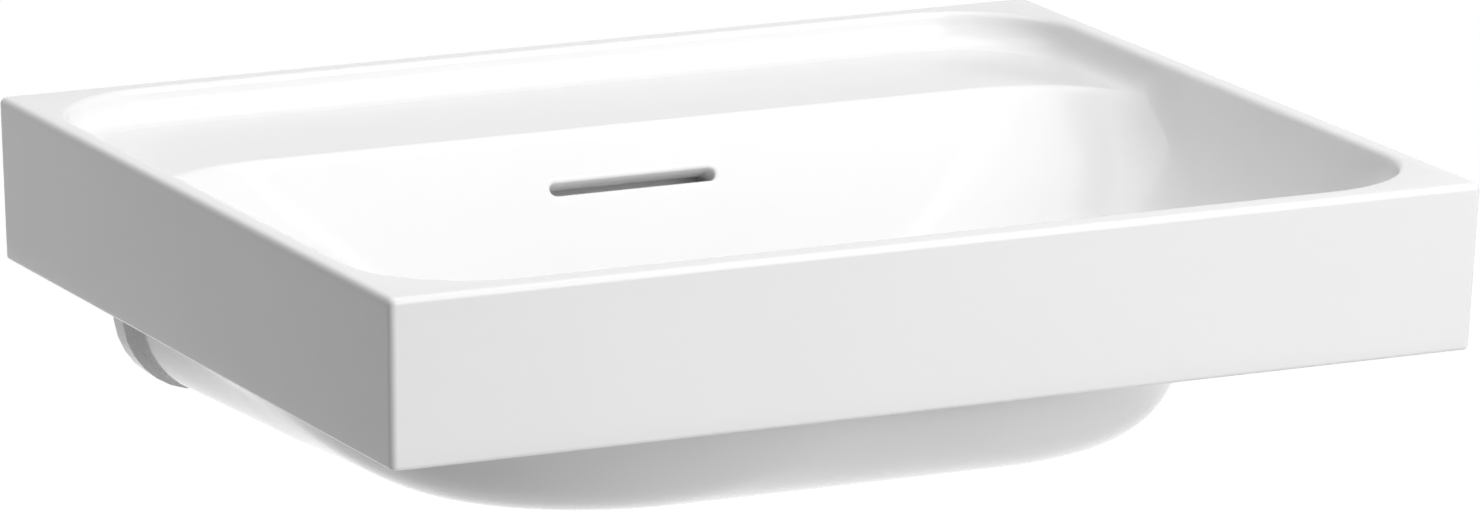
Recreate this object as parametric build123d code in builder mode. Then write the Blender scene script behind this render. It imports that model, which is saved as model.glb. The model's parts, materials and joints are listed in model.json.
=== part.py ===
"""Rectangular wall-hung washbasin with a recessed rear shelf, its waste set and wall fixings.

Millimetres, +Z up, X to the right, the wall behind at Y = 0. The origin is on the wall,
midway between the two fixing bolts.
"""

from build123d import *
from math import asin, cos, pi, radians, sin
import os

os.makedirs("parts", exist_ok=True)

# Overall sizes of the glazed basin
width = 550.0
depth = 470.0
rim_z = 70.0                 # the rim's top face above the fixing bolts
apron_drop = 80.0
side_taper = 2.4             # each side leans in this much over the apron's height
front_taper = 4.7
wall = 11.0                  # thickness of the apron
plate = 12.0                 # thickness of the plate that bears on the wall
edge_r = 3.5                 # rounding of the outer edges
foot_r = 2.0                 # rounding of the apron's lower edge
rim_edge_r = 3.0             # rounding of the opening's upper edge

# The opening and the recessed shelf behind the bowl
rim_side = 11.0
rim_front = 16.0
rim_back = 13.0
opening_r = 60.0
shelf_drop = 17.0
shelf_foot_r = 12.0
crest_y = -113.0             # the edge where the shelf falls into the bowl

# The bowl, from the level where the opening's walls end
bowl_drop = shelf_drop - shelf_foot_r
bowl_inset = 0.5             # what it stays inside the opening's walls by
floor_drop = 104.0
bowl_side_run = 112.0
bowl_front_run = 95.0
back_slope = 16.0 / 24.0     # run over drop of the wall that holds the overflow
back_foot_run = 24.0

# The outside of the body under the apron
body_drop = 151.0
body_tilt = 0.035            # the underside falls this much for each unit towards the wall
tilt_y = -175.0
body_half = 268.0
body_front = -461.0
body_side_run = 116.0
body_front_run = 140.0
body_top_share = 0.08
body_knee_y = -205.0         # behind here the body's sides draw in towards the wall
body_rear_share = 0.82
over_wall = 20.0             # the body is drawn past the wall, then cut flat
body_steps = 9
bowl_steps = 9

# The plate against the wall, below the apron
plate_top_half = 226.0
plate_foot_half = 212.0
plate_drop = 151.5
plate_corner_r = 41.0

# Hollows inside the casting
skin = 12.0
apron_hollow_drop = 28.0
hollow_drop = 29.0
hollow_half = 172.0
hollow_step_drop = 105.0
access_half = 145.0
access_front = -125.0
cavity_drop = 117.0
cavity_foot_drop = 137.0
cavity_half = 138.0
cavity_front = -320.0
cavity_r = 60.0

# Overflow
slot_length = 87.0
slot_height = 6.7
slot_drop = 41.7
duct_half = 44.0
duct_gap = 14.0
duct_wall = 9.0
duct_top_drop = 34.0
duct_foot_drop = 127.0
run_half = 13.0
run_top_drop = 114.0

# Waste outlet in the casting
waste_y = -215.0
outlet_r = 23.0
seat_drop = 107.0
seat_r = 36.0
dish_r = 86.0
collar_r = 42.0
outlet_drop = 132.0
outlet_access_r = 48.0

# Where the casting is divided, measured from the wall, from the middle or as heights
side_cut = 261.0
front_cut = 453.5
back_cut = 13.0
shelf_cut_z = 40.8
floor_cut_z = -45.0
step_cut_z = 54.5            # just over the shelf
corner_cut = 200.0
row_cuts = [77.0, 126.0, 205.0, 390.0]
shelf_wall_cut = 27.0
shelf_side_cut = 250.0
bowl_cuts = [175.0, 330.0]
level_cuts = [20.0, 0.0, -22.0, -34.0]
front_side_cut = 215.0
cut_margin = 0.5             # cuts miss the duct's own faces by this
slot_cut_margin = 0.3

# Waste fitting
gap = 0.05                   # what touching round parts leave between them
running_gap = 0.08
flange_r = 33.0
flange_thickness = 2.5
gasket_thickness = 1.5
mouth_r = 21.0
mouth_depth = 3.0
thread_r = 20.95
tube_r = 20.0
tube_bore_r = 18.0
tail_drop = 174.0
tail_length = 24.0
inlet_count = 4
inlet_width = 12.0
inlet_top_drop = 115.0
inlet_foot_drop = 127.0
cone_gasket_height = 7.0
cone_gasket_r = 35.0
slip_washer_height = 2.0
backnut_height = 9.0
backnut_flats = 58.0

# The spring cartridge that holds the plug up or down at each push
hub_top_drop = 156.0
hub_height = 6.0
hub_r = 7.5
arm_count = 3
arm_width = 4.0
stud_r = 4.0
cup_r = 8.5
cup_bore_r = 7.0
cup_floor = 4.0
cup_top_drop = 122.0
spring_r = 5.6               # to the middle of the wire
spring_wire_r = 0.55
spring_turns = 6
rotor_r = 6.6
rotor_height = 3.5
rotor_notches = 4
crown_height = 3.0
plunger_r = 3.2
pin_r = 2.3
pin_length = 9.0
collar_height = 3.0

# The plug
plug_travel = 8.0            # it stands open by this much
cap_r = 30.0
cap_thickness = 4.0
cap_crown = 3.0
boss_r = 6.0
boss_height = 7.5
boss_bore = 5.5
seal_in_r = 24.0
seal_out_r = 28.0
seal_height = 3.0
seal_stand = 1.5             # how far the seal stands out of its groove
locknut_flats = 10.0
locknut_height = 5.0

# Wall fixings
bolt_spacing = 280.0
screw_r = 5.0                # the coarse thread in the wall
bolt_r = 4.8                 # the fine thread that takes the nut
bolt_hole_r = 11.0
bolt_end_y = -45.0
bolt_in_wall = 65.0
bush_r = 10.9
bush_flange_r = 16.0
bush_flange = 4.0
washer_r = 15.0
washer_thickness = 2.5
nut_flats = 17.0
nut_height = 8.0
end_cap_r = 8.0
end_cap_length = 17.0

shelf_z = rim_z - shelf_drop
seat_z = rim_z - seat_drop
outlet_z = rim_z - outlet_drop
tail_z = rim_z - tail_drop
waste_axis = Plane((0, waste_y, 0))
bolt_places = [(-bolt_spacing / 2, 0), (bolt_spacing / 2, 0)]
flange_under_z = seat_z + gasket_thickness
flange_z = flange_under_z + flange_thickness
hub_z = rim_z - hub_top_drop
cup_top_z = rim_z - cup_top_drop
cup_floor_z = hub_z + cup_floor
crown_z = cup_top_z - running_gap - crown_height
rotor_z = crown_z - running_gap - rotor_height
cap_z = flange_z + seal_stand + gap + plug_travel


def quarter(share, power):
    """Share of the run used up at a share of the drop, along a rounded quarter."""
    return 1 - (1 - share**power) ** (1 / power)


def even_shares(first, steps):
    """Shares of a drop that are evenly spaced along a rounded quarter's own length."""
    start = asin(first)
    return [sin(start + (pi / 2 - start) * step / steps) for step in range(steps + 1)]


def rise_and_fall(share, low, top, peak, end, rise_power, fall_power):
    """A radius that grows from low to top until peak, then shrinks to end."""
    if share < peak:
        return low + (top - low) * (share / peak) ** rise_power
    return top - (top - end) * ((share - peak) / (1 - peak)) ** fall_power


def back_wall_y(drop):
    """Where the bowl's flat back wall is at a drop below the rim."""
    return crest_y - back_slope * (drop - shelf_drop)


def behind_wall_y(drop):
    """The hidden side of the back wall, one skin behind its glazed face."""
    return back_wall_y(drop) + skin * (1 + back_slope**2) ** 0.5


def body_section(share):
    """Outline of the body at a share of its drop, on a plane that tilts more lower down."""
    half = body_half - body_side_run * quarter(share, 1.85)
    front = body_front + body_front_run * quarter(share, 2.07)
    rear_half = half * (1 + (body_rear_share - 1) * (over_wall - body_knee_y) / -body_knee_y)
    corner_r = rise_and_fall(share, 70, 212, 0.6, 75, 1.8, 1.8)
    place = Plane(origin=(0, tilt_y, rim_z - body_drop * share), x_dir=(1, 0, 0),
                  z_dir=(0, body_tilt * share, 1))
    corners = [(-half, front), (half, front), (half, body_knee_y), (rear_half, over_wall),
               (-rear_half, over_wall), (-half, body_knee_y)]
    with BuildSketch(place) as outline:
        with BuildLine():
            Polyline([(x, y - tilt_y) for x, y in corners], close=True)
        make_face()
        fillet(outline.vertices().group_by(Axis.Y)[1], 60)
        fillet(outline.vertices().group_by(Axis.Y)[0], corner_r)
    return outline.sketch


def bowl_section(share):
    """Outline of the bowl at a share of the way down from the opening's walls to its floor."""
    drop = bowl_drop + (floor_drop - bowl_drop) * share
    half = width / 2 - rim_side - bowl_inset - bowl_side_run * quarter(share, 1.95)
    front = rim_front - depth + bowl_inset + bowl_front_run * quarter(share, 2.0)
    back = back_wall_y(drop) - back_foot_run * quarter(share, 5)
    with BuildSketch(Plane.XY.offset(rim_z - drop)) as outline:
        with Locations((0, (front + back) / 2)):
            Rectangle(2 * half, back - front)
        fillet(outline.vertices().group_by(Axis.Y)[0],
               rise_and_fall(share, opening_r, 170, 0.8, 75, 1.4, 1.5))
        fillet(outline.vertices().group_by(Axis.Y)[-1],
               rise_and_fall(share, 68, 100, 0.6, 55, 1.0, 1.3))
    return outline.sketch


def across(points, half):
    """A solid as wide as twice half, from its outline in drops and places along Y."""
    with BuildPart(mode=Mode.PRIVATE) as solid:
        with BuildSketch(Plane.YZ):
            with BuildLine():
                Polyline([(y, rim_z - drop) for y, drop in points], close=True)
            make_face()
        extrude(amount=half, both=True)
    return solid.part


# The body under the apron
with BuildPart() as body:
    for level in even_shares(body_top_share, body_steps):
        add(body_section(level))
    loft()
    with BuildSketch(Plane.XZ):
        Rectangle(2 * width, 2 * width)
    extrude(amount=-2 * over_wall, mode=Mode.SUBTRACT)

# The opening over bowl and shelf, with the shelf's rounded foot
opening_mid = (rim_front - depth - rim_back) / 2
with BuildPart() as opening:
    with BuildSketch(Plane.XY.offset(shelf_z)):
        with Locations((0, opening_mid)):
            RectangleRounded(width - 2 * rim_side, depth - rim_front - rim_back, opening_r)
    extrude(amount=shelf_drop + 5)
    fillet(opening.faces().sort_by(Axis.Z)[0].edges(), shelf_foot_r)

# The space inside the bowl
with BuildPart() as bowl:
    for level in even_shares(0, bowl_steps):
        add(bowl_section(level))
    loft()
    extrude(bowl_section(0), amount=bowl_drop - 2)

# The hollow behind the bowl, open downwards for the nuts, and the cavity under its floor
upper_hollow = across([(behind_wall_y(hollow_drop), hollow_drop), (-plate, hollow_drop),
                       (-plate, hollow_step_drop),
                       (behind_wall_y(hollow_step_drop), hollow_step_drop)], hollow_half)
lower_hollow = across([(behind_wall_y(hollow_step_drop - 1), hollow_step_drop - 1),
                       (-plate, hollow_step_drop - 1), (-plate, body_drop + 25),
                       (access_front, body_drop + 25), (access_front, cavity_drop + 1),
                       (behind_wall_y(cavity_drop + 1), cavity_drop + 1)], access_half)
duct_block = across([(behind_wall_y(28) - 6, 28), (behind_wall_y(28) + duct_gap + duct_wall, 28),
                     (behind_wall_y(138) + duct_gap + duct_wall, 138),
                     (behind_wall_y(138) - 6, 138)], duct_half + duct_wall)
duct_way = across([(behind_wall_y(duct_top_drop), duct_top_drop),
                   (behind_wall_y(duct_top_drop) + duct_gap, duct_top_drop),
                   (behind_wall_y(duct_foot_drop) + duct_gap, duct_foot_drop),
                   (behind_wall_y(duct_foot_drop), duct_foot_drop)], duct_half)
duct_run = across([(waste_y, run_top_drop), (behind_wall_y(run_top_drop) + 2, run_top_drop),
                   (behind_wall_y(duct_foot_drop) + 2, duct_foot_drop),
                   (waste_y, duct_foot_drop)], run_half)

run_block = across([(waste_y + 35.5, floor_drop + 3), (behind_wall_y(127), floor_drop + 3),
                    (behind_wall_y(127), duct_foot_drop + duct_wall),
                    (waste_y + 35.5, duct_foot_drop + duct_wall)], run_half + duct_wall)
slot_face = Plane((0, back_wall_y(slot_drop), rim_z - slot_drop), x_dir=(1, 0, 0),
                  z_dir=(0, -1, back_slope))

# The glazed basin itself
with BuildPart() as ceramic_basin:
    with BuildSketch(Plane.XY.offset(rim_z)):
        with Locations((0, -depth / 2)):
            RectangleRounded(width, depth, edge_r)
    with BuildSketch(Plane.XY.offset(rim_z - apron_drop)):
        with Locations((0, (front_taper - depth) / 2)):
            RectangleRounded(width - 2 * side_taper, depth - front_taper, edge_r)
    loft()
    fillet(ceramic_basin.faces().sort_by(Axis.Z)[-1].edges(), edge_r - 0.5)
    fillet(ceramic_basin.faces().sort_by(Axis.Z)[0].edges(), foot_r)
    with BuildSketch(Plane.XY.offset(rim_z - apron_drop)):
        with Locations((0, (front_taper + wall - depth - plate) / 2)):
            Rectangle(width - 2 * (side_taper + wall), depth - front_taper - wall - plate)
    extrude(amount=apron_drop - apron_hollow_drop, mode=Mode.SUBTRACT)
    add(body.part)
    with BuildSketch(Plane.XZ):
        with BuildLine():
            Polyline((-plate_top_half, 0), (-plate_foot_half, rim_z - plate_drop),
                     (plate_foot_half, rim_z - plate_drop), (plate_top_half, 0), close=True)
        plate_face = make_face()
        fillet(plate_face.vertices().group_by(Axis.Y)[0], plate_corner_r)
    extrude(amount=plate)
    add(opening.part, mode=Mode.SUBTRACT)
    add(bowl.part, mode=Mode.SUBTRACT)
    add(upper_hollow, mode=Mode.SUBTRACT)
    add(lower_hollow, mode=Mode.SUBTRACT)
    with BuildSketch(Plane.XY.offset(rim_z - cavity_foot_drop)):
        with Locations((0, (cavity_front + access_front) / 2 + 5)):
            RectangleRounded(2 * cavity_half, access_front - cavity_front + 10, cavity_r)
    extrude(amount=cavity_foot_drop - cavity_drop, mode=Mode.SUBTRACT)
    add(duct_block)
    with BuildSketch(waste_axis.offset(outlet_z)):
        Circle(outlet_access_r)
    extrude(amount=-40, mode=Mode.SUBTRACT)
    with BuildSketch(waste_axis.offset(outlet_z)):
        Circle(collar_r)
    extrude(amount=outlet_drop - floor_drop - 2)
    add(run_block)
    add(duct_way, mode=Mode.SUBTRACT)
    add(duct_run, mode=Mode.SUBTRACT)
    with BuildSketch(waste_axis.offset(rim_z - floor_drop + 2)):
        Circle(dish_r * 5 / 3 - seat_r * 2 / 3)
    with BuildSketch(waste_axis.offset(seat_z)):
        Circle(seat_r)
    loft(mode=Mode.SUBTRACT)
    with BuildSketch(waste_axis.offset(seat_z)):
        Circle(outlet_r)
    extrude(amount=outlet_z - seat_z - 1, mode=Mode.SUBTRACT)
    with BuildSketch(slot_face):
        SlotOverall(slot_length, slot_height)
    extrude(amount=skin + 3, both=True, mode=Mode.SUBTRACT)
    with BuildSketch(Plane.XZ):
        with Locations(bolt_places):
            Circle(bolt_hole_r)
    extrude(amount=plate, mode=Mode.SUBTRACT)
    rim_edges = ceramic_basin.faces().filter_by(Axis.Z).sort_by(Axis.Z)[-1].inner_wires()
    fillet(rim_edges[0].edges(), rim_edge_r)
print("basin", round(ceramic_basin.part.volume), ceramic_basin.part.is_valid)


def halves(pieces, plane):
    """The parts of some pieces on the near side of a plane, and those on its far side."""
    near = [split(piece, bisect_by=plane, keep=Keep.TOP) for piece in pieces]
    far = [split(piece, bisect_by=plane, keep=Keep.BOTTOM) for piece in pieces]
    return [solid for piece in near if piece for solid in piece.solids()], \
           [solid for piece in far if piece for solid in piece.solids()]


def divided(pieces, planes):
    """Some pieces cut by one plane after another, with all that comes off kept."""
    for plane in planes:
        near, far = halves(pieces, plane)
        pieces = near + far
    return pieces


def corner_planes(side, y):
    """Two upright planes through the axis of one of the opening's corners, a third of it each."""
    axis = (side * (width / 2 - rim_side - opening_r), y, 0)
    turns = [radians(90 + side * sign * 30) for sign in (1, 2)]
    if y < -depth / 2:
        turns = [-turn for turn in turns]
    return [Plane(axis, z_dir=(cos(turn), sin(turn), 0)) for turn in turns]


def along_wall(distance):
    """A plane along the bowl's back wall, this far behind its hidden side."""
    return Plane((0, behind_wall_y(slot_drop) + distance, rim_z - slot_drop), x_dir=(1, 0, 0),
                 z_dir=(0, -1, back_slope))


def across_slot(height):
    """A plane square to the bowl's back wall, this far above the middle of the slot."""
    return Plane(slot_face.origin + slot_face.y_dir * height, z_dir=slot_face.y_dir)


# The casting is stored as touching solids, each of a simple shape, because a single one
# that bends round bowl and hollows would be closed over by its collision hulls
top, core = halves([ceramic_basin.part], Plane.XY.offset(shelf_cut_z))

# Above the shelf's underside, rows across the basin; the corners are cut through their own axes
side_planes = [Plane.YZ.offset(corner_cut), Plane.YZ.offset(-corner_cut)]
rim_pieces = []
rest = top
for cut in row_cuts:
    rest, row = halves(rest, Plane.XZ.offset(cut))
    right, row = halves(row, side_planes[0])
    middle, left = halves(row, side_planes[1])
    if cut == row_cuts[0]:
        middle = divided(middle, [Plane.XZ.offset(shelf_wall_cut)])
        right = divided(right, [Plane.XY.offset(step_cut_z)] + corner_planes(1, -rim_back - opening_r))
        left = divided(left, [Plane.XY.offset(step_cut_z)] + corner_planes(-1, -rim_back - opening_r))
    if cut == row_cuts[1]:
        right = divided(right, [Plane.YZ.offset(shelf_side_cut)])
        left = divided(left, [Plane.YZ.offset(-shelf_side_cut)])
    rim_pieces += right + middle + left
right, rest = halves(rest, side_planes[0])
middle, left = halves(rest, side_planes[1])
rim_pieces += divided(right, corner_planes(1, rim_front + opening_r - depth)) + middle
rim_pieces += divided(left, corner_planes(-1, rim_front + opening_r - depth))

# The apron's walls and the plate
walls = []
for plane in [Plane.YZ.offset(side_cut), -Plane.YZ.offset(-side_cut),
              Plane.XZ.offset(front_cut), -Plane.XZ.offset(back_cut)]:
    off, core = halves(core, plane)
    walls += off

# Below it: the front of the bowl, its middle, and the back wall with the overflow's duct
access_cuts = [Plane.YZ.offset(access_half), Plane.YZ.offset(-access_half)]
level_planes = [Plane.XY.offset(level) for level in level_cuts]
core, foot = halves(core, Plane.XY.offset(floor_cut_z))
foot = divided(foot, access_cuts)
bowl_front, core = halves(core, Plane.XZ.offset(bowl_cuts[1]))
bowl_front = divided(bowl_front, access_cuts + level_planes + [Plane.YZ.offset(front_side_cut),
                                                               Plane.YZ.offset(-front_side_cut)])
bowl_middle, bowl_back = halves(core, Plane.XZ.offset(bowl_cuts[0]))
bowl_middle = divided(bowl_middle, access_cuts + level_planes)

duct_cut = duct_half + duct_wall + cut_margin
right_back, bowl_back = halves(bowl_back, Plane.YZ.offset(duct_cut))
left_back, bowl_back = halves(bowl_back, -Plane.YZ.offset(-duct_cut))
beside_duct = divided(right_back + left_back, access_cuts)
wall_skin, duct = halves(bowl_back, along_wall(cut_margin))
above_slot, wall_skin = halves(wall_skin, across_slot(slot_height / 2 - slot_cut_margin))
slot_strip, below_slot = halves(wall_skin, across_slot(slot_cut_margin - slot_height / 2))
slot_ends = divided(slot_strip, [Plane.YZ])
duct_sides, duct_rear = halves(duct, along_wall(duct_gap - cut_margin))
duct_sides = divided(duct_sides, [Plane.XY.offset(rim_z - duct_top_drop - cut_margin), Plane.YZ])

solids = (walls + rim_pieces + foot + bowl_front + bowl_middle + beside_duct + above_slot
          + slot_ends + below_slot + duct_sides + duct_rear)
casting = Compound(solids)
casting.label = "ceramic_basin"
export_step(casting, "parts/ceramic_basin.step")
print("basin's solids", len(solids), round(casting.volume), all(s.is_valid for s in solids))
print("smallest", sorted(round(s.volume, 2) for s in solids)[:12])


def turned(points):
    """A solid turned round the waste's axis, from its outline in radii and heights."""
    with BuildPart(mode=Mode.PRIVATE) as solid:
        with BuildSketch(Plane.XZ.offset(-waste_y)):
            with BuildLine():
                Polyline(points, close=True)
            make_face()
        revolve(axis=Axis((0, waste_y, 0), (0, 0, 1)))
    return solid.part


def ring(inner_r, outer_r, foot_z, top_z):
    """A plain ring on the waste's axis."""
    return turned([(inner_r, foot_z), (outer_r, foot_z), (outer_r, top_z), (inner_r, top_z)])


# Waste fitting: a flanged tube with overflow inlets and a three-armed hub for the cartridge
inlet_mid_z = rim_z - (inlet_top_drop + inlet_foot_drop) / 2
with BuildPart() as waste_body:
    add(turned([(tube_bore_r, tail_z), (tube_r, tail_z), (tube_r, tail_z + tail_length),
                (thread_r, tail_z + tail_length), (thread_r, flange_under_z),
                (flange_r, flange_under_z), (flange_r, flange_z - 1), (flange_r - 1, flange_z),
                (mouth_r, flange_z), (tube_bore_r, flange_z - mouth_depth)]))
    for turn in range(inlet_count):
        inlet = Plane((0, waste_y, inlet_mid_z), x_dir=(0, 0, 1),
                      z_dir=(cos(radians(90 * turn)), sin(radians(90 * turn)), 0))
        with BuildSketch(inlet):
            Rectangle(inlet_foot_drop - inlet_top_drop, inlet_width)
        extrude(amount=thread_r + 1, mode=Mode.SUBTRACT)
    with BuildSketch(waste_axis.offset(hub_z - hub_height)):
        Circle(hub_r)
        for turn in range(arm_count):
            with Locations(Rot(0, 0, 360 * turn / arm_count + 90)):
                with Locations((tube_bore_r / 2, 0)):
                    Rectangle(tube_bore_r + 2, arm_width)
        Circle(stud_r + gap, mode=Mode.SUBTRACT)
    extrude(amount=hub_height)
waste_body.part.label = "waste_body"
export_step(waste_body.part, "parts/waste_body.step")
print("waste body", waste_body.part.volume, waste_body.part.is_valid, len(waste_body.solids()))

flange_gasket = ring(outlet_r + 0.5, flange_r + 1, seat_z, flange_under_z)
flange_gasket.label = "flange_gasket"
export_step(flange_gasket, "parts/flange_gasket.step")

# The washers and nut that draw the fitting down from below
cone_foot_z = outlet_z - cone_gasket_height
cone_gasket = turned([(thread_r + gap, cone_foot_z), (cone_gasket_r, cone_foot_z),
                      (cone_gasket_r, outlet_z - 3), (cone_gasket_r - 3, outlet_z),
                      (thread_r + gap, outlet_z)])
cone_gasket.label = "cone_gasket"
export_step(cone_gasket, "parts/cone_gasket.step")

slip_foot_z = cone_foot_z - slip_washer_height
slip_washer = ring(thread_r + gap, cone_gasket_r, slip_foot_z, cone_foot_z)
slip_washer.label = "slip_washer"
export_step(slip_washer, "parts/slip_washer.step")

with BuildPart() as backnut:
    with BuildSketch(waste_axis.offset(slip_foot_z - backnut_height)):
        RegularPolygon(backnut_flats / 2, 6, major_radius=False)
        Circle(thread_r + gap, mode=Mode.SUBTRACT)
    extrude(amount=backnut_height)
    chamfer(backnut.faces().sort_by(Axis.Z)[0].outer_wire().edges(), 1.2)
backnut.part.label = "backnut"
export_step(backnut.part, "parts/backnut.step")

# The cartridge: cup, spring, rotor, plunger and the collar that keeps them in
cartridge_body = turned([(0, hub_z - hub_height), (stud_r, hub_z - hub_height), (stud_r, hub_z),
                         (cup_r, hub_z), (cup_r, cup_top_z), (cup_bore_r, cup_top_z),
                         (cup_bore_r, cup_floor_z), (0, cup_floor_z)])
cartridge_body.label = "cartridge_body"
export_step(cartridge_body, "parts/cartridge_body.step")

spring_foot_z = cup_floor_z + spring_wire_r + gap
spring_pitch = (rotor_z - spring_wire_r - gap - spring_foot_z) / spring_turns
print("gap between spring coils", spring_pitch - 2 * spring_wire_r)
with BuildPart() as cartridge_spring:
    with BuildLine() as coil:
        Helix(spring_pitch, spring_pitch * spring_turns, spring_r,
              center=(0, waste_y, spring_foot_z))
    with BuildSketch(Plane(coil.line @ 0, z_dir=coil.line % 0)):
        Circle(spring_wire_r)
    sweep(is_frenet=True)
cartridge_spring.part.label = "cartridge_spring"
export_step(cartridge_spring.part, "parts/cartridge_spring.step")
print("spring", cartridge_spring.part.volume, cartridge_spring.part.is_valid)

with BuildPart() as cam_rotor:
    with BuildSketch(waste_axis.offset(rotor_z)):
        Circle(rotor_r)
        Circle(pin_r + 4 * running_gap, mode=Mode.SUBTRACT)
    extrude(amount=rotor_height)
    with BuildSketch(waste_axis.offset(rotor_z + rotor_height - 1)):
        for turn in range(rotor_notches):
            with Locations(Rot(0, 0, 360 * turn / rotor_notches)):
                with Locations((rotor_r - 1, 0)):
                    Rectangle(2, 3)
    extrude(amount=2, mode=Mode.SUBTRACT)
cam_rotor.part.label = "cam_rotor"
export_step(cam_rotor.part, "parts/cam_rotor.step")

rod_top_z = cap_z - boss_height + boss_bore
plunger = turned([(0, crown_z - pin_length), (pin_r, crown_z - pin_length), (pin_r, crown_z),
                  (rotor_r, crown_z), (rotor_r, crown_z + crown_height),
                  (plunger_r, crown_z + crown_height), (plunger_r, rod_top_z), (0, rod_top_z)])
plunger.label = "plunger"
export_step(plunger, "parts/plunger.step")

retaining_collar = ring(plunger_r + running_gap, cup_r, cup_top_z, cup_top_z + collar_height)
retaining_collar.label = "retaining_collar"
export_step(retaining_collar, "parts/retaining_collar.step")

# The plug: a domed cap with its seal, locked on the plunger by a nut under its boss
boss_foot_z = cap_z - boss_height
with BuildPart() as stem_locknut:
    with BuildSketch(waste_axis.offset(boss_foot_z - locknut_height)):
        RegularPolygon(locknut_flats / 2, 6, major_radius=False)
        Circle(plunger_r + gap, mode=Mode.SUBTRACT)
    extrude(amount=locknut_height)
stem_locknut.part.label = "stem_locknut"
export_step(stem_locknut.part, "parts/stem_locknut.step")

seal_top_z = cap_z - seal_stand + seal_height
with BuildPart() as plug_cap:
    with BuildSketch(Plane.XZ.offset(-waste_y)):
        with BuildLine():
            Polyline((0, cap_z), (cap_r - 1, cap_z), (cap_r, cap_z + 1),
                     (cap_r, cap_z + cap_thickness - 1), (cap_r - 1, cap_z + cap_thickness))
            Spline((cap_r - 1, cap_z + cap_thickness), (0, cap_z + cap_thickness + cap_crown),
                   tangents=[(-1, 0.25), (-1, 0)])
            Line((0, cap_z + cap_thickness + cap_crown), (0, cap_z))
        make_face()
    revolve(axis=Axis((0, waste_y, 0), (0, 0, 1)))
    add(turned([(0, boss_foot_z), (boss_r, boss_foot_z), (boss_r, cap_z), (0, cap_z)]))
    add(turned([(0, boss_foot_z), (plunger_r + gap, boss_foot_z),
                (plunger_r + gap, rod_top_z + 0.5), (0, rod_top_z + 0.5)]), mode=Mode.SUBTRACT)
    add(ring(seal_in_r - gap, seal_out_r + gap, cap_z - 1, seal_top_z), mode=Mode.SUBTRACT)
plug_cap.part.label = "plug_cap"
export_step(plug_cap.part, "parts/plug_cap.step")

plug_seal = turned([(seal_in_r, seal_top_z), (seal_in_r, cap_z),
                    (seal_in_r + 1.2, cap_z - seal_stand), (seal_out_r - 1.2, cap_z - seal_stand),
                    (seal_out_r, cap_z), (seal_out_r, seal_top_z)])
plug_seal.label = "plug_seal"
export_step(plug_seal, "parts/plug_seal.step")


def at_bolts(sections):
    """Rings round both fixing bolts, each from inner and outer radius and its ends along Y."""
    with BuildPart(mode=Mode.PRIVATE) as pieces:
        for inner_r, outer_r, near_y, far_y in sections:
            with BuildSketch(Plane.XZ.offset(-far_y)):
                with Locations(bolt_places):
                    Circle(outer_r)
                    if inner_r > 0:
                        Circle(inner_r, mode=Mode.SUBTRACT)
            extrude(amount=far_y - near_y)
    return pieces.part


# Fixings: two hanger bolts for the wall, each with bush, washer, nut and end cap
bush_y = -plate - bush_flange
washer_y = bush_y - washer_thickness
nut_y = washer_y - nut_height

hanger_bolts = at_bolts([(0, bolt_r, bolt_end_y, 0), (0, screw_r, 0, bolt_in_wall)])
hanger_bolts.label = "hanger_bolts"
export_step(hanger_bolts, "parts/hanger_bolts.step")

fixing_bushes = at_bolts([(bolt_r + 0.2, bush_r, -plate, -0.5),
                          (bolt_r + 0.2, bush_flange_r, bush_y, -plate)])
fixing_bushes.label = "fixing_bushes"
export_step(fixing_bushes, "parts/fixing_bushes.step")

fixing_washers = at_bolts([(bolt_r + 0.3, washer_r, washer_y, bush_y)])
fixing_washers.label = "fixing_washers"
export_step(fixing_washers, "parts/fixing_washers.step")

with BuildPart() as fixing_nuts:
    with BuildSketch(Plane.XZ.offset(-washer_y)):
        with Locations(bolt_places):
            RegularPolygon(nut_flats / 2, 6, major_radius=False)
            Circle(bolt_r + gap, mode=Mode.SUBTRACT)
    extrude(amount=nut_height)
fixing_nuts.part.label = "fixing_nuts"
export_step(fixing_nuts.part, "parts/fixing_nuts.step")

cap_end_y = bolt_end_y - 2
bolt_end_caps = at_bolts([(bolt_r + gap, end_cap_r, bolt_end_y, cap_end_y + end_cap_length),
                          (0, end_cap_r, cap_end_y, bolt_end_y)])
bolt_end_caps.label = "bolt_end_caps"
export_step(bolt_end_caps, "parts/bolt_end_caps.step")
print("done")
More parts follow.
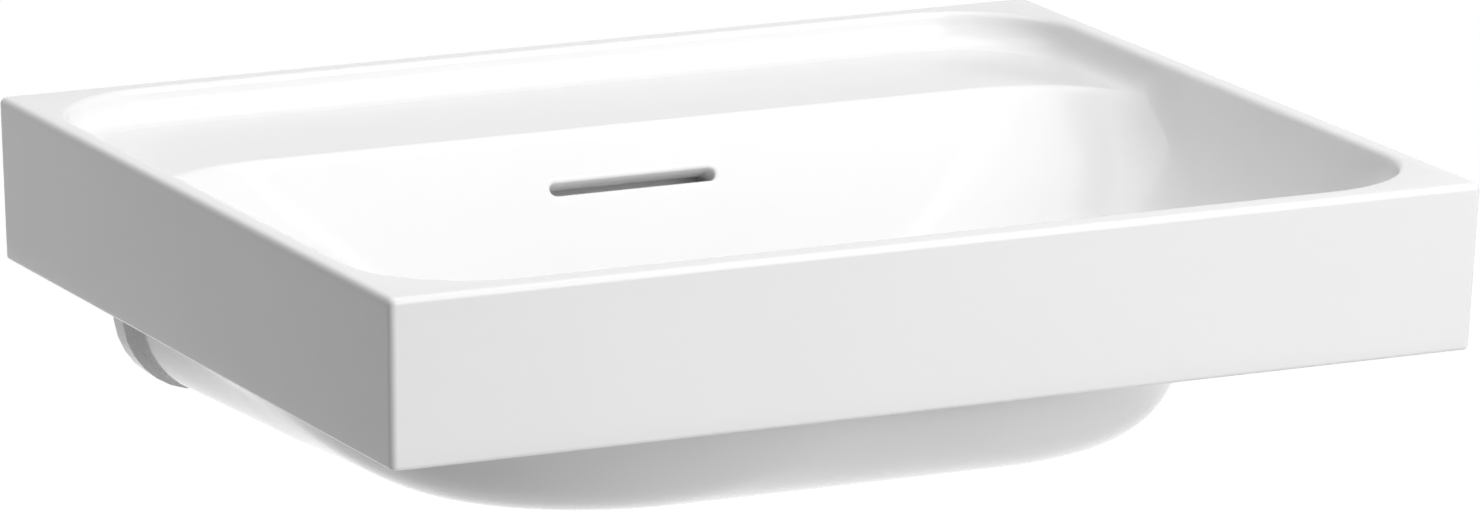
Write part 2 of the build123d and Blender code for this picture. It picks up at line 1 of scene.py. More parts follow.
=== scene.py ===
import bpy
import json
import numpy as np
from math import cos, pi, radians, sin, sqrt
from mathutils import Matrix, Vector

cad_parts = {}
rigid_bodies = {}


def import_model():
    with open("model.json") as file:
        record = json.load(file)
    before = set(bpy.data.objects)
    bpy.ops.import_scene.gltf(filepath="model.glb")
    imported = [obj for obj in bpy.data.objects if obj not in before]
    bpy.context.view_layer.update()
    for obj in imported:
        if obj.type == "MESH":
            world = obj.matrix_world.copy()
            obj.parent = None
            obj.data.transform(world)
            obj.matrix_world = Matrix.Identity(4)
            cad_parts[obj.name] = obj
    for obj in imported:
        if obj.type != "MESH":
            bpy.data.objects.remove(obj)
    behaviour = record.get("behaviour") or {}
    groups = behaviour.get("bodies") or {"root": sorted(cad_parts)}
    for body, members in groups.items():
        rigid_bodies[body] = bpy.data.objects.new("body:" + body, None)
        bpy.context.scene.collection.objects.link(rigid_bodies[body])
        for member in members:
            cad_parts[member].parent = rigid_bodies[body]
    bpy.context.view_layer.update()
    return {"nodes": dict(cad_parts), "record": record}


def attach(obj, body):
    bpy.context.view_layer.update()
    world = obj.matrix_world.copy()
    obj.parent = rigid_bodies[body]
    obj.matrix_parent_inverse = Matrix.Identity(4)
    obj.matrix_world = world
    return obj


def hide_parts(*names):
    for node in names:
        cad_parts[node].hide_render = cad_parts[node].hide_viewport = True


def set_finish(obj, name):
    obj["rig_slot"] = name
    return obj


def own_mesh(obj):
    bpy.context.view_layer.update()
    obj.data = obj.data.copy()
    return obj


for thing in list(bpy.data.objects):
    bpy.data.objects.remove(thing)  # the start-up cube, lamp and camera
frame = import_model()

unit = 0.001  # every size below is in millimetres, in the same frame as the CAD

# sizes of the casting: X across, Y towards the wall, drops measured down from the rim
basin = {
    "width": 550.0, "depth": 470.0, "rimZ": 70.0,
    "apronDrop": 80.0, "sideTaper": 2.4, "frontTaper": 4.7, "wall": 11.0,
    "edgeR": 3.5, "footR": 2.0, "footInnerR": 1.5, "ceilingDrop": 28.0, "ceilingR": 5.0,
    "sharpR": 0.02, "innerR": 6.0,
    "rimSide": 11.0, "rimFront": 16.0, "rimBack": 13.0, "rimEdgeR": 3.0,
    "openingR": 60.0, "shelfDrop": 17.0, "shelfFootR": 12.0,
    "crestY": -113.0, "crestSoft": 3.2, "skin": 12.0,
    "floorDrop": 104.0, "sideRun": 112.0, "sidePower": 1.95, "frontRun": 95.0, "frontPower": 2.0,
    "backSlope": 16 / 24, "backFootRun": 24.0, "backPower": 5.0,
    "dishDepth": 3.0, "dishR": 110.0, "dishFromDrop": 90.0, "dishOverDrop": 14.0,
    "wasteY": -215.0, "outletR": 23.0, "outletEdge": 0.6, "outletFootZ": -75.0, "seatR": 36.0,
}


def quarter(share, power):
    # share of a run used up at a share of the drop: one minus the power-th root of what is left
    return 1 - (1 - np.clip(share, 0, 1) ** power) ** (1 / power)


def eased(share):
    # smooth step: three times the square less twice the cube
    share = np.clip(share, 0, 1)
    return share * share * (3 - 2 * share)


def between(share, stops):
    # a smooth curve through (share, value) stops: each span is a Hermite cubic whose two end slopes
    # come from the stops on both sides of it
    at = np.array([stop[0] for stop in stops])
    value = np.array([stop[1] for stop in stops])
    slope = np.gradient(value, at)
    share = np.clip(share, at[0], at[-1])
    span = np.clip(np.searchsorted(at, share, side="right") - 1, 0, len(at) - 2)
    run = at[span + 1] - at[span]
    t = (share - at[span]) / run
    return ((2 * t**3 - 3 * t**2 + 1) * value[span] + (t**3 - 2 * t**2 + t) * run * slope[span]
            + (3 * t**2 - 2 * t**3) * value[span + 1] + (t**3 - t**2) * run * slope[span + 1])


def meshObject(name, points, faces, smooth=True):
    # points in millimetres; turned inside out if the signed volume, a sixth of the sum of each
    # triangle's a times b cross c, comes out negative
    points = np.asarray(points, dtype=float) * unit
    mesh = bpy.data.meshes.new(name)
    mesh.from_pydata(points.tolist(), [], faces)
    mesh.update()
    mesh.calc_loop_triangles()
    corners = np.empty(len(mesh.loop_triangles) * 3, dtype=np.int32)
    mesh.loop_triangles.foreach_get("vertices", corners)
    a, b, c = points[corners.reshape(-1, 3)].transpose(1, 0, 2)
    volume = np.einsum("ij,ij->i", a, np.cross(b, c)).sum() / 6
    if volume < 0:
        mesh.flip_normals()
    mesh.polygons.foreach_set("use_smooth", [smooth] * len(mesh.polygons))
    thing = bpy.data.objects.new(name, mesh)
    bpy.context.scene.collection.objects.link(thing)
    return thing


def stackMesh(name, rings):
    # rings is levels by around by xyz; each ring is joined to the next with quads, and the first
    # and last are capped
    levels, around, _ = rings.shape
    index = np.arange(levels * around).reshape(levels, around)
    low, high = index[:-1], index[1:]
    quads = np.stack([low, np.roll(low, -1, 1), np.roll(high, -1, 1), high], -1).reshape(-1, 4)
    faces = quads.tolist() + [index[0][::-1].tolist(), index[-1].tolist()]
    return meshObject(name, rings.reshape(-1, 3), faces)


def prismMesh(name, outline, axis, low, high):
    # an outline in the two other axes, pushed along one axis from low to high
    outline = np.asarray(outline, dtype=float)
    rings = np.empty((2, len(outline), 3))
    others = [k for k in range(3) if k != axis]
    rings[:, :, others] = outline
    rings[0, :, axis] = low
    rings[1, :, axis] = high
    return stackMesh(name, rings)


def roundedOutline(points, radii, steps=8):
    # each corner is replaced by an arc that touches both of its sides
    points = [np.array(p, dtype=float) for p in points]
    out = []
    for k, corner in enumerate(points):
        before = points[k - 1] - corner
        after = points[(k + 1) % len(points)] - corner
        before /= np.linalg.norm(before)
        after /= np.linalg.norm(after)
        half = np.arccos(np.clip(before @ after, -1, 1)) / 2
        r = radii[k] if np.ndim(radii) else radii
        if r <= 0:
            out.append(corner)
            continue
        centre = corner + (before + after) / np.linalg.norm(before + after) * r / sin(half)
        start = corner + before * r / np.tan(half) - centre
        end = corner + after * r / np.tan(half) - centre
        a0 = np.arctan2(start[1], start[0])
        turn = (np.arctan2(end[1], end[0]) - a0 + pi) % (2 * pi) - pi
        for t in np.linspace(0, 1, steps):
            out.append(centre + r * np.array([cos(a0 + turn * t), sin(a0 + turn * t)]))
    return np.array(out)


def insideRounded(x, y, half, front, back, frontR, backR):
    # true inside a rectangle whose front and back corners have their own radii
    x = np.abs(x)
    box = (x < half) & (y > front) & (y < back)
    frontCut = ((x > half - frontR) & (y < front + frontR)
                & ((x - half + frontR) ** 2 + (y - front - frontR) ** 2 > frontR**2))
    backCut = ((x > half - backR) & (y > back - backR)
               & ((x - half + backR) ** 2 + (y - back + backR) ** 2 > backR**2))
    return box & ~frontCut & ~backCut


def reach(turns, inside, far=620.0):
    # how far a ray from the waste's axis goes before it leaves the outline, by halving
    low = np.zeros_like(turns)
    high = np.full_like(turns, far)
    for _ in range(44):
        mid = (low + high) / 2
        hit = inside(mid * np.cos(turns), basin["wasteY"] + mid * np.sin(turns))
        low = np.where(hit, mid, low)
        high = np.where(hit, high, mid)
    return (low + high) / 2


# the space in the opening, shelf and bowl
radii = {
    # corner radii of the bowl in plan, each against the share of its drop
    "front": [(0, 60), (0.15, 86), (0.4, 128), (0.65, 158), (0.82, 166), (0.93, 140), (1, 86)],
    "back": [(0, 68), (0.3, 82), (0.6, 98), (0.8, 96), (0.93, 78), (1, 56)],
}
bowlTop = basin["shelfDrop"] - basin["shelfFootR"]


def backWall(drop):
    # place along Y of the bowl's sloping back wall: the crest less the slope times the drop past it
    return basin["crestY"] - basin["backSlope"] * (drop - basin["shelfDrop"])


def bowlLevel(drop):
    # half width, front, back and both radii of the bowl's outline at a drop below the rim
    share = (drop - bowlTop) / (basin["floorDrop"] - bowlTop)
    half = (basin["width"] / 2 - basin["rimSide"]
            - basin["sideRun"] * quarter(share, basin["sidePower"]))
    front = (basin["rimFront"] - basin["depth"]
             + basin["frontRun"] * quarter(share, basin["frontPower"]))
    back = backWall(drop) - basin["backFootRun"] * quarter(share, basin["backPower"])
    return half, front, back, between(share, radii["front"]), between(share, radii["back"])


def bowlDrop(x, y):
    # the drop at which the bowl's outline shrinks past a point, by halving
    low = np.full(x.shape, bowlTop)
    high = np.full(x.shape, basin["floorDrop"])
    for _ in range(26):
        mid = (low + high) / 2
        hit = insideRounded(x, y, *bowlLevel(mid))
        low = np.where(hit, mid, low)
        high = np.where(hit, high, mid)
    return (low + high) / 2


def openingDrop(x, y):
    # wall, quarter-round foot, then the level shelf, from the distance inside the opening's wall
    half = basin["width"] / 2 - basin["rimSide"]
    front = basin["rimFront"] - basin["depth"]
    back = -basin["rimBack"]
    qx = np.abs(x) - half + basin["openingR"]
    qy = np.abs(y - (front + back) / 2) - (back - front) / 2 + basin["openingR"]
    edge = basin["openingR"] - np.hypot(np.maximum(qx, 0), np.maximum(qy, 0)) - np.minimum(
        np.maximum(qx, qy), 0)
    left = np.clip(basin["shelfFootR"] - edge, 0, basin["shelfFootR"])
    return bowlTop + np.sqrt(basin["shelfFootR"] ** 2 - left**2)


def voidDrop(x, y):
    # the deeper of shelf and bowl, with their meeting edge rounded by a smooth maximum
    shelf = openingDrop(x, y)
    bowl = bowlDrop(x, y)
    soft = basin["crestSoft"]
    near = np.clip(soft - np.abs(shelf - bowl), 0, None) / soft
    deep = np.maximum(shelf, bowl) + near**2 * soft / 4
    ring = np.hypot(x, y - basin["wasteY"])
    dish = eased((basin["dishR"] - ring) / (basin["dishR"] - basin["seatR"]))
    low = eased((deep - basin["dishFromDrop"]) / basin["dishOverDrop"])
    return deep + basin["dishDepth"] * dish * low


def contourTurns(half, front, back, r, count):
    # directions from the waste's axis to evenly spaced points on a rounded rectangle
    outline = roundedOutline([(half, front), (half, back), (-half, back), (-half, front)], r, 40)
    loop = np.vstack([outline, outline[:1]])
    run = np.concatenate([[0], np.cumsum(np.hypot(*np.diff(loop, axis=0).T))])
    want = np.linspace(0, run[-1], count, endpoint=False)
    x = np.interp(want, run, loop[:, 0])
    y = np.interp(want, run, loop[:, 1])
    return np.unwrap(np.arctan2(y - basin["wasteY"], x))


def voidMesh(rays=400, steps=150, samples=500, gather=2.4, stepLength=3.0, stepTurn=radians(7)):
    # rays run from the waste's axis to the opening's wall; each ray's profile is sampled finely,
    # then re-spaced by its length over stepLength plus its turn over stepTurn, so that steps gather
    # where it turns
    half = basin["width"] / 2 - basin["rimSide"]
    front = basin["rimFront"] - basin["depth"]
    back = -basin["rimBack"]
    turns = contourTurns(half, front, back, basin["openingR"], rays)

    def opened(out):
        return reach(turns, lambda x, y: insideRounded(
            x, y, half + out, front - out, back + out, basin["openingR"] + out,
            basin["openingR"] + out))

    wall = opened(0)
    fine = np.linspace(0, 1, samples) ** gather
    rho = wall[:, None] - (wall[:, None] - basin["seatR"]) * fine[None, :]
    x = rho * np.cos(turns)[:, None]
    y = basin["wasteY"] + rho * np.sin(turns)[:, None]
    rise = basin["rimZ"] - voidDrop(x, y)
    rho = np.hstack([wall[:, None], rho])
    rise = np.hstack([np.full((rays, 1), basin["rimZ"] - basin["rimEdgeR"]), rise])
    rings = np.empty((steps, rays, 2))
    for k in range(rays):
        dr, dz = np.diff(rho[k]), np.diff(rise[k])
        length = np.hypot(dr, dz)
        turn = np.abs(np.diff(np.unwrap(np.arctan2(dz, dr))))
        turn = np.convolve(np.concatenate([turn, [0]]), np.ones(5) / 5, "same")  # mean of five
        weight = np.concatenate([[0], np.cumsum(length / stepLength + turn / stepTurn)])
        want = np.linspace(0, weight[-1], steps)
        rings[:, k, 0] = np.interp(want, weight, rho[k])
        rings[:, k, 1] = np.interp(want, weight, rise[k])
    lip = []  # the rim's inner edge, a quarter circle from its top down
    for angle in radians(1) * np.array([80, 64, 48, 32, 16]):
        lip.append(np.stack([opened(basin["rimEdgeR"] * (1 - cos(angle))),
                             np.full(rays, basin["rimZ"] - basin["rimEdgeR"] * (1 - sin(angle)))],
                            -1))
    past = opened(basin["rimEdgeR"] * (1 - cos(radians(80))) + 0.6)
    for above in (0.06, 6):  # just over the rim, then clear of it
        lip.insert(0, np.stack([past, np.full(rays, basin["rimZ"] + above)], -1))
    seatZ = rings[-1, :, 1].mean()
    outletR, edge = basin["outletR"], basin["outletEdge"]
    hole = [np.stack([np.full(rays, r), np.full(rays, z)], -1) for r, z in
            ((outletR + edge, seatZ), (outletR, seatZ - edge), (outletR, basin["outletFootZ"]))]
    profile = np.concatenate([np.array(lip), rings, np.array(hole)])
    points = np.empty(profile.shape[:2] + (3,))
    points[..., 0] = profile[..., 0] * np.cos(turns)
    points[..., 1] = basin["wasteY"] + profile[..., 0] * np.sin(turns)
    points[..., 2] = profile[..., 1]
    return stackMesh("opening_space", points)


# the apron block, the body below it and the plate on the wall
body = {
    "drop": 151.0, "tilt": 0.035, "tiltY": -175.0, "half": 268.0, "front": -461.0, "back": -2.0,
    "sideRun": 116.0, "sidePower": 1.85, "frontRun": 140.0, "frontPower": 2.07,
    "kneeY": -205.0, "kneeSoft": 0.05, "levelY": -160.0, "firstFall": 0.1, "gather": 2.2,
    "cornerR": [(0, 70), (0.2, 92), (0.4, 138), (0.6, 205), (0.75, 190), (0.9, 128), (1, 78)],
    "spreadHalf": 240.0, "spreadFront": -440.0, "spreadR": 60.0,
}
plate = {"thick": 12.0, "topHalf": 226.0, "footHalf": 212.0, "topZ": 20.0, "backY": -0.04,
         "drop": 151.5, "cornerR": 41.0, "holeSpacing": 280.0, "holeR": 11.0}


def apronMesh():
    # rings of four rounded corners: rim edge, tapered faces, foot, inner walls and ceiling, each
    # round edge a quarter circle in inset and height
    rim, drop = basin["rimZ"], basin["apronDrop"]
    foot = rim - drop
    er, fr, wall, cr = basin["edgeR"], basin["footR"], basin["wall"], basin["ceilingR"]
    ir = basin["footInnerR"]
    stops = [(inset, rim - er + er * rise) for inset, rise in
             [(er * (1 - sin(a)), cos(a)) for a in np.linspace(0, pi / 2, 8)]]
    stops += [(0, z) for z in np.linspace(rim - er, foot + fr, 9)[1:]]
    stops += [(fr * (1 - cos(a)), foot + fr * (1 - sin(a))) for a in np.linspace(0, pi / 2, 6)[1:]]
    stops += [(wall - ir * cos(a), foot + ir * (1 - sin(a))) for a in np.linspace(pi / 2, 0, 5)]
    ceiling = rim - basin["ceilingDrop"]
    stops += [(wall + cr * (1 - cos(a)), ceiling - cr * (1 - sin(a)))
              for a in np.linspace(0, pi / 2, 6)]
    rings = []
    for inset, z in stops:
        down = (rim - z) / drop
        half = basin["width"] / 2 - basin["sideTaper"] * down - inset
        front = -basin["depth"] + basin["frontTaper"] * down + inset
        back = -inset * (plate["thick"] / wall if inset > fr else 1)
        r = max(inset - wall, 0) + basin["innerR"]
        if inset <= fr:
            r = max(er - inset, basin["sharpR"])
        rings.append(roundedOutline([(half, front), (half, back), (-half, back), (-half, front)],
                                    r, 9))
    points = np.empty((len(stops), len(rings[0]), 3))
    points[..., :2] = rings
    points[..., 2] = np.array([z for _, z in stops])[:, None]
    return stackMesh("basin_china", points)


def plateHalf(z):
    # half width of the wall plate at a height: a slanted side, then a quarter-round corner
    foot, r = basin["rimZ"] - plate["drop"], plate["cornerR"]
    side = plate["footHalf"] + (plate["topHalf"] - plate["footHalf"]) * (z - foot) / -foot
    corner = plate["footHalf"] - r + np.sqrt(np.clip(r**2 - (foot + r - z) ** 2, 0, None))
    return np.where(z > foot + r, side, np.minimum(side, corner))


def bodyMesh(rays=260, levels=64):
    # outlines that shrink as a rounded quarter with the drop and run back from the knee to the
    # plate's own outline
    first = body["firstFall"]
    fall = first + (1 - first) * (1 - (1 - np.linspace(0, 1, levels)) ** body["gather"])
    half = body["half"] - body["sideRun"] * quarter(fall, body["sidePower"])
    front = body["front"] + body["frontRun"] * quarter(fall, body["frontPower"])
    corner = between(fall, body["cornerR"])
    rear = plateHalf(basin["rimZ"] - plate["drop"] * fall)
    turns = contourTurns(
        body["spreadHalf"], body["spreadFront"], body["back"], body["spreadR"], rays)
    points = np.empty((levels, rays, 3))
    for k in range(levels):
        def inside(x, y):
            # past is the share of the way from knee to plate, with its start rounded
            past = (y - body["kneeY"]) / (-plate["thick"] - body["kneeY"])
            past = np.clip((past + np.sqrt(past**2 + body["kneeSoft"] ** 2)) / 2, 0, 1)
            side = np.abs(x) < half[k] + (rear[k] - half[k]) * past
            wide = max(half[k], rear[k])
            ahead = insideRounded(x, y, half[k], front[k], 0, corner[k], 1) | (y > body["kneeY"])
            return side & ahead & insideRounded(x, y, wide, front[k], body["back"], 1, 1)
        rho = reach(turns, inside)
        points[k, :, 0] = rho * np.cos(turns)
        points[k, :, 1] = basin["wasteY"] + rho * np.sin(turns)
        points[k, :, 2] = (basin["rimZ"] - body["drop"] * fall[k] - body["tilt"] * fall[k]
                           * (np.minimum(points[k, :, 1], body["levelY"]) - body["tiltY"]))
    return stackMesh("body_solid", points)


def behindWall(drop):
    # the back wall's rear face: its skin, measured square to the slope, behind its front face
    return backWall(drop) + basin["skin"] * sqrt(1 + basin["backSlope"] ** 2)


def acrossMesh(name, stops, half, r):
    # a solid as wide as twice half, from its outline in places along Y and drops
    outline = roundedOutline([(y, basin["rimZ"] - drop) for y, drop in stops], r)
    return prismMesh(name, outline, 0, -half, half)


def drumMesh(name, x, y, z, r, axis, low, high, sides=72):
    # a round bar along one axis from low to high, its outline a circle of evenly spaced points
    turns = np.linspace(0, 2 * pi, sides, endpoint=False)
    centre = [c for k, c in enumerate((x, y, z)) if k != axis]
    outline = np.stack([centre[0] + r * np.cos(turns), centre[1] + r * np.sin(turns)], -1)
    return prismMesh(name, outline, axis, low, high)


slot = {"length": 87.0, "height": 6.7, "drop": 41.7, "lipR": 1.6, "deep": 20.0}


def slotMesh():
    # a long rounded hole square to the back wall, its mouth flared along a quarter circle
    centre = np.array([0, backWall(slot["drop"]), basin["rimZ"] - slot["drop"]])
    out = np.array([0, -1, basin["backSlope"]]) / sqrt(1 + basin["backSlope"] ** 2)
    up = np.array([0, basin["backSlope"], 1]) / sqrt(1 + basin["backSlope"] ** 2)
    lip = slot["lipR"]
    stops = [(lip * (1 - cos(radians(a))), -lip * (1 - sin(radians(a))))
             for a in (0, 15, 30, 45, 60, 75)]
    past = stops[-1][0] + 0.5  # a little wider where it leaves the wall
    stops = [(0, -slot["deep"])] + stops + [(past, 0.2), (past, 4)]
    run = slot["length"] / 2 - slot["height"] / 2
    rings = []
    for grow, along in stops:
        r = slot["height"] / 2 + grow
        turns = np.linspace(-pi / 2, pi / 2, 20)
        u = np.concatenate([run + r * np.cos(turns), -run - r * np.cos(turns)])
        v = np.concatenate([r * np.sin(turns), -r * np.sin(turns)])
        rings.append(centre + np.outer(u, (1, 0, 0)) + np.outer(v, up) + out * along)
    return stackMesh("slot_space", np.array(rings))


def combine(target, operation, tool):
    # one boolean, applied at once; the tool isn't kept
    cut = target.modifiers.new(operation, "BOOLEAN")
    cut.operation = operation
    cut.solver = "MANIFOLD"
    cut.object = tool
    done = bpy.data.meshes.new_from_object(target.evaluated_get(
        bpy.context.evaluated_depsgraph_get()))
    target.modifiers.clear()
    old = target.data
    target.data = done
    bpy.data.meshes.remove(old)
    bpy.data.objects.remove(tool)


china = apronMesh()
combine(china, "UNION", bodyMesh())
plateFoot = basin["rimZ"] - plate["drop"]
plateOutline = roundedOutline(
    [(-plate["topHalf"], plate["topZ"]), (plate["topHalf"], plate["topZ"]),
     (plate["footHalf"], plateFoot), (-plate["footHalf"], plateFoot)],
    [0, 0, plate["cornerR"], plate["cornerR"]])
combine(china, "UNION",
        prismMesh("plate_solid", plateOutline, 1, -plate["thick"], plate["backY"]))
combine(china, "DIFFERENCE", voidMesh())

# the hollow behind the bowl, in two steps that overlap, open at the foot
hollow = {"topDrop": 29, "midDrop": 106, "half": 172, "r": 8, "lowTopDrop": 95, "stepDrop": 118,
          "frontY": -125, "pastDrop": 180, "lowHalf": 145, "lowR": 4}
plateFront = -plate["thick"]
combine(china, "DIFFERENCE", acrossMesh("hollow_upper", [
    (behindWall(hollow["topDrop"]), hollow["topDrop"]), (plateFront, hollow["topDrop"]),
    (plateFront, hollow["midDrop"]), (behindWall(hollow["midDrop"]), hollow["midDrop"])],
    hollow["half"], hollow["r"]))
combine(china, "DIFFERENCE", acrossMesh("hollow_lower", [
    (behindWall(hollow["lowTopDrop"]), hollow["lowTopDrop"]), (plateFront, hollow["lowTopDrop"]),
    (plateFront, hollow["pastDrop"]), (hollow["frontY"], hollow["pastDrop"]),
    (hollow["frontY"], hollow["stepDrop"]), (behindWall(hollow["stepDrop"]), hollow["stepDrop"])],
    hollow["lowHalf"], hollow["lowR"]))

# the overflow's duct down the back wall: a block, then the space in it
duct = {"topDrop": 28, "footDrop": 138, "sunk": 6, "deep": 23, "half": 53, "r": 5,
        "innerTopDrop": 34, "innerFootDrop": 127, "innerDeep": 14, "innerHalf": 44, "innerR": 3}


def ductOutline(topDrop, footDrop, sunk, deep):
    # four corners along the back wall's rear face, from sunk before it to deep behind it
    top, foot = behindWall(topDrop), behindWall(footDrop)
    return [(top - sunk, topDrop), (top + deep, topDrop),
            (foot + deep, footDrop), (foot - sunk, footDrop)]


combine(china, "UNION", acrossMesh(
    "duct_solid", ductOutline(duct["topDrop"], duct["footDrop"], duct["sunk"], duct["deep"]),
    duct["half"], duct["r"]))
combine(china, "DIFFERENCE", acrossMesh(
    "duct_space", ductOutline(duct["innerTopDrop"], duct["innerFootDrop"], 0, duct["innerDeep"]),
    duct["innerHalf"], duct["innerR"]))

# under the outlet: a recess, a collar left in it for the backnut, and the hole through both
outlet = {"recessR": 48, "recess": (-120, -47), "collarR": 42, "collar": (-62, -46),
          "hole": (-70, -37.2), "holeSides": 400}
combine(china, "DIFFERENCE", drumMesh(
    "outlet_recess", 0, basin["wasteY"], 0, outlet["recessR"], 2, *outlet["recess"]))
combine(china, "UNION", drumMesh(
    "outlet_collar", 0, basin["wasteY"], 0, outlet["collarR"], 2, *outlet["collar"]))
combine(china, "DIFFERENCE", drumMesh(
    "outlet_hole", 0, basin["wasteY"], 0, basin["outletR"], 2, *outlet["hole"],
    outlet["holeSides"]))
for side in (-plate["holeSpacing"] / 2, plate["holeSpacing"] / 2):
    combine(china, "DIFFERENCE", drumMesh(
        "bolt_hole", side, 0, 0, plate["holeR"], 1, -plate["thick"] - 2, 2, 40))
combine(china, "DIFFERENCE", slotMesh())
china.data.set_sharp_from_angle(angle=radians(34))
print("china", len(china.data.vertices), "points", len(china.data.polygons), "faces")
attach(china, "basin")
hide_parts("ceramic_basin")
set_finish(china, "white_glaze")


# small pieces with a form of their own
spring = {"y": basin["wasteY"], "footZ": -81.4, "topZ": -59.26, "r": 5.6, "wireR": 0.55,
          "turns": 6, "anchorZ": -82.0, "travel": 8.0}


def springMesh(sides=10, perTurn=36):
    # a tube round a helix: circles of the wire's radius, square to the helix's direction
    run = np.linspace(0, spring["turns"] * 2 * pi, spring["turns"] * perTurn)
    rise = (spring["topZ"] - spring["footZ"]) / run[-1]
    centre = np.stack([spring["r"] * np.cos(run),
                       spring["y"] + spring["r"] * np.sin(run),
                       spring["footZ"] + rise * run], -1)
    along = np.stack([-spring["r"] * np.sin(run), spring["r"] * np.cos(run),
                      np.full_like(run, rise)], -1)
    along /= np.linalg.norm(along, axis=1)[:, None]
    out = np.stack([np.cos(run), np.sin(run), np.zeros_like(run)], -1)
    up = np.cross(along, out)
    turn = np.linspace(0, 2 * pi, sides, endpoint=False)[None, :, None]
    rings = centre[:, None] + spring["wireR"] * (out[:, None] * np.cos(turn)
                                                 + up[:, None] * np.sin(turn))
    return stackMesh("plug_spring", rings)


coil = springMesh()
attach(coil, "basin")
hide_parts("cartridge_spring")
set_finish(coil, "zinc_steel")
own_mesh(coil)

bolt = {"spacing": plate["holeSpacing"], "r": 5.0, "frontY": -45.0, "backY": 65.0,
        "finePitch": 1.5, "fineDepth": 0.75, "coarsePitch": 4.0, "coarseDepth": 1.1,
        "plain": 9.0, "runOut": 3.0, "point": 9.0, "pointPower": 0.7, "tipShare": 0.12,
        "endShare": 0.75, "endRise": 0.3, "endRun": 1.5}


def boltMesh(side, around=24):
    # rows along the bolt; the radius dips by a triangle wave of place over pitch less the turn,
    # and draws in to a point at the wall's end and a little at the front end
    fine = np.arange(bolt["frontY"], -bolt["plain"] / 2, bolt["finePitch"] / 6)
    coarse = np.arange(bolt["plain"] / 2, bolt["backY"], bolt["coarsePitch"] / 10)
    place = np.concatenate([fine, coarse, [bolt["backY"]]])
    turn = np.linspace(0, 2 * pi, around, endpoint=False)
    isFine = place < 0
    pitch = np.where(isFine, bolt["finePitch"], bolt["coarsePitch"])[:, None]
    depth = np.where(isFine, bolt["fineDepth"], bolt["coarseDepth"])[:, None]
    phase = (place[:, None] / pitch - turn[None, :] / (2 * pi)) % 1
    wave = np.abs(2 * phase - 1)
    flat = np.clip(wave * 1.8 - 0.2, 0, 1)  # the coarse thread has flat crests and roots
    wave = np.where(isFine[:, None], wave, flat)
    fade = np.clip((np.abs(place) - bolt["plain"] / 2) / bolt["runOut"], 0, 1)[:, None]
    radius = bolt["r"] - depth * wave * fade
    point = np.clip((bolt["backY"] - place) / bolt["point"], bolt["tipShare"], 1)
    end = (place - bolt["frontY"]) / bolt["endRun"] * bolt["endRise"] + bolt["endShare"]
    radius *= point[:, None] ** bolt["pointPower"]
    radius *= np.clip(end, 0, 1)[:, None]
    rings = np.empty((len(place), around, 3))
    rings[..., 0] = side + radius * np.cos(turn)
    rings[..., 1] = place[:, None]
    rings[..., 2] = radius * np.sin(turn)
    return stackMesh("hanger_bolt_thread", rings)


bolts = boltMesh(-bolt["spacing"] / 2)
other = boltMesh(bolt["spacing"] / 2)
bolts.name = "hanger_bolt_pair"
bpy.context.view_layer.objects.active = bolts
with bpy.context.temp_override(active_object=bolts, selected_editable_objects=[bolts, other]):
    bpy.ops.object.join()
bolts.data.set_sharp_from_angle(angle=radians(40))
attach(bolts, "basin")
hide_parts("hanger_bolts")
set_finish(bolts, "zinc_steel")
print("small pieces made")


# materials
finishes = {
    "white_glaze": {"color": (0.87, 0.863, 0.87), "roughness": 0.11, "vary": 0.012, "scale": 14,
                    "bump": 0.015, "specular": 0.3},
    "chrome": {"color": (0.82, 0.83, 0.85), "roughness": 0.07, "metallic": 1, "vary": 0.03,
               "scale": 90, "bump": 0.01},
    "black_rubber": {"color": (0.022, 0.022, 0.023), "roughness": 0.62, "vary": 0.15, "scale": 240,
                     "bump": 0.12},
    "white_plastic": {"color": (0.78, 0.78, 0.75), "roughness": 0.42, "vary": 0.03, "scale": 120,
                      "bump": 0.05},
    "brass": {"color": (0.72, 0.52, 0.24), "roughness": 0.28, "metallic": 1, "vary": 0.12,
              "scale": 160, "bump": 0.05},
    "zinc_steel": {"color": (0.58, 0.6, 0.63), "roughness": 0.33, "metallic": 1, "vary": 0.1,
                   "scale": 200, "bump": 0.05},
}


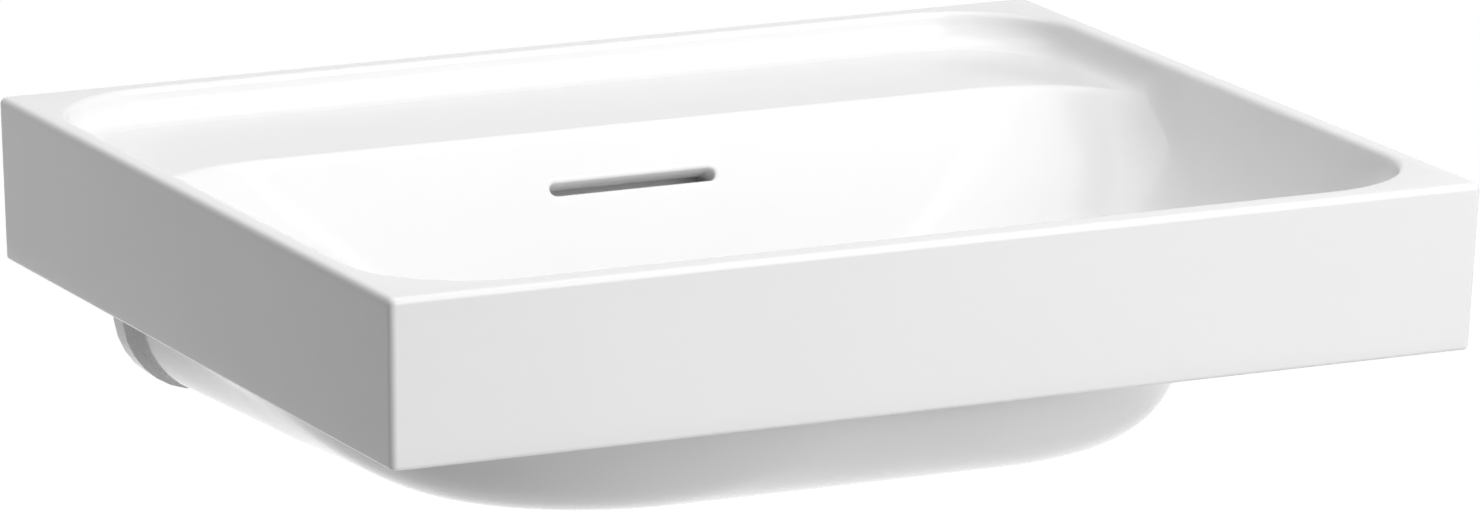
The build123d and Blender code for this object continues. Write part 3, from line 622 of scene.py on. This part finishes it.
def finish(name, color, roughness, vary, scale, bump, metallic=0, specular=0.5):
    # noise over the object's own coordinates lightens and darkens the colour by vary, changes the
    # roughness by twice that share and raises a slight relief, 0.4 mm at full strength
    material = bpy.data.materials.new(name)
    material.use_nodes = True
    nodes, links = material.node_tree.nodes, material.node_tree.links
    shader = nodes["Principled BSDF"]
    shader.inputs["Metallic"].default_value = metallic
    shader.inputs["Specular IOR Level"].default_value = specular
    place = nodes.new("ShaderNodeTexCoord")
    noise = nodes.new("ShaderNodeTexNoise")
    noise.inputs["Scale"].default_value = scale
    noise.inputs["Detail"].default_value = 4
    links.new(place.outputs["Object"], noise.inputs["Vector"])
    tone = nodes.new("ShaderNodeMapRange")
    tone.inputs["To Min"].default_value = 1 - vary
    tone.inputs["To Max"].default_value = 1 + vary
    links.new(noise.outputs["Fac"], tone.inputs["Value"])
    mixed = nodes.new("ShaderNodeMix")
    mixed.data_type = "RGBA"
    mixed.blend_type = "MULTIPLY"
    mixed.inputs["Factor"].default_value = 1
    mixed.inputs[6].default_value = (*color, 1)
    links.new(tone.outputs["Result"], mixed.inputs[7])
    links.new(mixed.outputs[2], shader.inputs["Base Color"])
    rough = nodes.new("ShaderNodeMapRange")
    rough.inputs["To Min"].default_value = roughness * (1 - 2 * vary)
    rough.inputs["To Max"].default_value = roughness * (1 + 2 * vary)
    links.new(noise.outputs["Fac"], rough.inputs["Value"])
    links.new(rough.outputs["Result"], shader.inputs["Roughness"])
    relief = nodes.new("ShaderNodeBump")
    relief.inputs["Strength"].default_value = bump
    relief.inputs["Distance"].default_value = 0.0004
    links.new(noise.outputs["Fac"], relief.inputs["Height"])
    links.new(relief.outputs["Normal"], shader.inputs["Normal"])
    return material


made = {name: finish(name, **values) for name, values in finishes.items()}
slots = {part["node"]: part["material_slot"] for part in frame["record"]["subparts"]}
for name, node in frame["nodes"].items():
    node.data.materials.clear()
    node.data.materials.append(made[slots[name]])
for thing in (china, coil, bolts):
    thing.data.materials.clear()
    thing.data.materials.append(made[thing["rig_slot"]])
print("materials made")


# camera, lamps, floor and background: from here on sizes are in metres
camera = {"yaw": 25.27, "pitch": 13.0, "distance": 5.176, "lens": 266.98,
          "target": (0.0068, -0.235, 0.0128), "sensor": 36, "clipEnd": 60}
eye = bpy.data.cameras.new("camera")
eye.lens = camera["lens"]
eye.sensor_width = camera["sensor"]
eye.clip_end = camera["clipEnd"]
eyeObject = bpy.data.objects.new("camera", eye)
bpy.context.scene.collection.objects.link(eyeObject)
yaw, pitch = radians(camera["yaw"]), radians(camera["pitch"])
back = Vector((-sin(yaw) * cos(pitch), -cos(yaw) * cos(pitch), sin(pitch)))
eyeObject.location = Vector(camera["target"]) + back * camera["distance"]
eyeObject.rotation_euler = back.to_track_quat("Z", "Y").to_euler()
bpy.context.scene.camera = eyeObject
bpy.context.scene.view_settings.view_transform = "Standard"

lamps = {
    "key": {"from": (1.05, -2.35, 2.4), "size": 2.4, "power": 14.0},
    "front": {"from": (0.9, -2.9, 1.2), "size": 2.2, "power": 67.0},
    "top": {"from": (0.5, -0.3, 3.0), "size": 2.6, "power": 44.0},
    "rearLeft": {"from": (-1.8, 0.9, 2.2), "size": 2.0, "power": 21.0},
}
for name, lamp in lamps.items():
    light = bpy.data.lights.new(name, "AREA")
    light.shape = "SQUARE"
    light.size = lamp["size"]
    light.energy = lamp["power"]
    lightObject = bpy.data.objects.new(name, light)
    bpy.context.scene.collection.objects.link(lightObject)
    lightObject.location = lamp["from"]
    lightObject.rotation_euler = (Vector(lamp["from"]) - Vector(camera["target"])).to_track_quat(
        "Z", "Y").to_euler()

surround = {"ambient": 0.07}
world = bpy.data.worlds.new("studio")
world.use_nodes = True
bpy.context.scene.world = world
nodes, links = world.node_tree.nodes, world.node_tree.links


def shownRays(nodes, links):
    # one for camera, glossy and transmission rays, which show the background as white, else zero
    path = nodes.new("ShaderNodeLightPath")
    total = path.outputs["Is Camera Ray"]
    for kind in ("Is Glossy Ray", "Is Transmission Ray"):
        both = nodes.new("ShaderNodeMath")
        both.operation = "MAXIMUM"
        links.new(total, both.inputs[0])
        links.new(path.outputs[kind], both.inputs[1])
        total = both.outputs[0]
    return total


level = nodes.new("ShaderNodeMapRange")
level.inputs["To Min"].default_value = surround["ambient"]
level.inputs["To Max"].default_value = 1.0
links.new(shownRays(nodes, links), level.inputs["Value"])
links.new(level.outputs["Result"], nodes["Background"].inputs["Strength"])
nodes["Background"].inputs["Color"].default_value = (1, 1, 1, 1)

ground = {"z": -0.78, "half": 2.8, "color": (0.62, 0.62, 0.62), "glow": 0.82}
groundSides = ((-1, -1), (1, -1), (1, 1), (-1, 1))
groundCorners = np.array([(x * ground["half"], y * ground["half"], ground["z"])
                          for x, y in groundSides])
floor = meshObject("floor", groundCorners / unit, [(0, 1, 2, 3)], False)
floorMaterial = bpy.data.materials.new("floor")
floorMaterial.use_nodes = True
nodes, links = floorMaterial.node_tree.nodes, floorMaterial.node_tree.links
shader = nodes["Principled BSDF"]
shader.inputs["Base Color"].default_value = (*ground["color"], 1)
shader.inputs["Roughness"].default_value = 0.9
shader.inputs["Emission Color"].default_value = (1, 1, 1, 1)
glow = nodes.new("ShaderNodeMath")
glow.operation = "MULTIPLY"
glow.inputs[1].default_value = ground["glow"]
links.new(shownRays(nodes, links), glow.inputs[0])
links.new(glow.outputs[0], shader.inputs["Emission Strength"])
floor.data.materials.append(floorMaterial)
